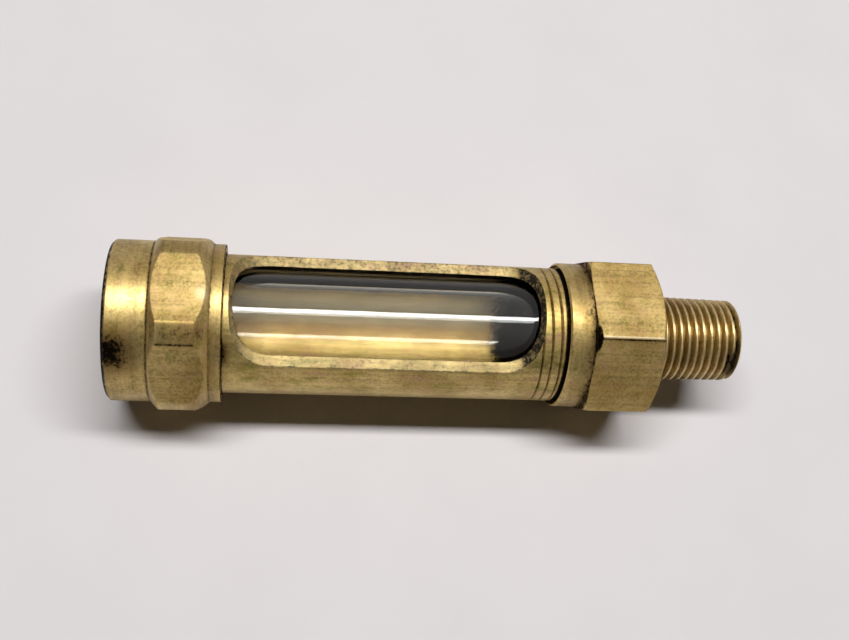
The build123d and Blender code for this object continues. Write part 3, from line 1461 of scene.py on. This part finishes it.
@dataclass(frozen=True)
class Studio:
    """Floor, lamp, room and camera."""

    floor_size: float = 3.0
    lamp_distance: float = 0.55
    lamp_shift: float = 0.03
    lamp_tilt: float = 7.5
    lamp_size: tuple[float, float] = (0.6, 0.068)
    lamp_power: float = 3.3
    sky: float = 0.02
    room: tuple[float, float] = (0.28, 0.62)
    room_span: tuple[float, float] = (-0.5, 0.6)
    bright_side: tuple[float, float, float] = (0.35, 0.8, 0.45)
    room_tint: Colour = (1.0, 0.97, 0.95)
    lens: float = 44.52
    sensor: float = 36.0
    sight: tuple[float, float] = (0.005, 20.0)
    target: tuple[float, float, float] = (-0.940, 1.306, 9.525)
    distance: float = 125.52
    elevation: float = 65.04
    azimuth: float = -20.54
    roll: float = 20.82

    def floor(self) -> None:
        """Lay a wide floor under the gauge."""
        half = self.floor_size / 2
        corners = [(-half, -half, 0), (half, -half, 0), (half, half, 0), (-half, half, 0)]
        mesh = bpy.data.meshes.new("floor")
        mesh.from_pydata(corners, [], [(0, 1, 2, 3)])
        mesh.materials.append(FloorFinish().build())
        add_object("floor", mesh)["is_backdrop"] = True

    def lamp(self) -> None:
        """Hang one long lamp over the gauge, leaning to its far side."""
        light = bpy.data.lights.new("long_lamp", "AREA")
        light.shape = "RECTANGLE"
        light.size, light.size_y = self.lamp_size
        light.energy = self.lamp_power
        lean = math.radians(self.lamp_tilt)
        lamp = add_object("long_lamp", light)
        place = Vector((self.lamp_shift, math.sin(lean), math.cos(lean)))
        lamp.location = place * self.lamp_distance
        lamp.rotation_euler = (-lean, 0, 0)

    def world(self) -> None:
        """Show gloss and glass a room that is bright behind and dim in front.

        The camera sees the floor's colour there, and matt surfaces get only the sky value.
        The room rises by the share of a direction that lies along the bright side.
        """
        world = bpy.data.worlds.new("room")
        world.use_nodes = True
        sheet = NodeSheet(world.node_tree)
        background = world.node_tree.nodes["Background"]
        place = sheet.add("ShaderNodeTexCoord").outputs["Generated"]
        side = Vector(self.bright_side).normalized()
        along = sheet.add("ShaderNodeVectorMath", {0: place, 1: side}, operation="DOT_PRODUCT")
        room = sheet.stretch(along.outputs["Value"], *self.room_span, *self.room)
        from_camera = sheet.add("ShaderNodeLightPath").outputs["Is Camera Ray"]
        strength = sheet.between(sheet.seen(), self.sky, room)
        strength = sheet.between(from_camera, strength, 1.0)
        tint = sheet.mix(from_camera, self.room_tint, FloorFinish().far_light)
        sheet.feed(background.inputs, {"Color": tint, "Strength": strength})
        bpy.context.scene.world = world

    def camera(self) -> None:
        """Set the camera by its bearing round the target, and roll it about its own line."""
        data = bpy.data.cameras.new("camera")
        data.lens, data.sensor_width = self.lens, self.sensor
        data.clip_start, data.clip_end = self.sight
        side, rise = math.radians(self.azimuth), math.radians(self.elevation)
        back = Vector((math.sin(side) * math.cos(rise), -math.cos(side) * math.cos(rise), math.sin(rise)))
        camera = add_object("camera", data)
        turn = back.to_track_quat("Z", "Y").to_matrix().to_4x4()
        place = Matrix.Translation((Vector(self.target) + back * self.distance) * MM)
        camera.matrix_world = place @ turn @ Matrix.Rotation(math.radians(self.roll), 4, "Z")
        bpy.context.scene.camera = camera

    def build(self) -> None:
        """Set up everything round the gauge."""
        self.floor()
        self.lamp()
        self.world()
        self.camera()
        bpy.context.scene.view_settings.view_transform = "Standard"


def write_sizes() -> None:
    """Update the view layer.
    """
    bpy.context.view_layer.update()


def main() -> None:
    """Build the gauge piece by piece, then the studio."""
    logging.basicConfig(level=logging.INFO, format="%(name)s %(message)s")
    frame_box = tuple(corner.copy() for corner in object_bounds())
    effects = Effects()
    turned, drawn = Marks.TURNED, Marks.DRAWN
    bright, tarnished = display(203, 178, 117), display(150, 121, 64)
    fitting_brass = BrassFinish("fitting_brass_turned", turned, bright, tarnished).build(effects)
    bright, tarnished = display(206, 181, 116), display(152, 124, 66)
    barrel_brass = BrassFinish(
        "barrel_brass_drawn", drawn, bright, tarnished, blotches=0.75, smear=0.4
    ).build(effects)
    glass, rubber = GlassFinish().build(effects), RubberFinish().build(effects)
    PortFitting("port_fitting_turned", "port_fitting", Slot.FITTING_BRASS).build(fitting_brass)
    StemFitting("stem_fitting_turned", "stem_fitting", Slot.FITTING_BRASS).build(fitting_brass)
    WindowBarrel("window_barrel_milled", "window_barrel", Slot.BARREL_BRASS).build(barrel_brass)
    tube = {"inner_radius": 4.8, "outer_radius": 6.4}
    PlainRing("glass_tube_clear", "glass_tube", Slot.CLEAR_GLASS, **tube).build(glass)
    gasket = {"inner_radius": 4.9, "outer_radius": 6.8}
    for node in ("port_end_gasket", "stem_end_gasket"):
        PlainRing(f"{node}_rubber", node, Slot.BLACK_RUBBER, **gasket).build(rubber)
    Studio().build()
    write_sizes()


if __name__ == "__main__":
    main()
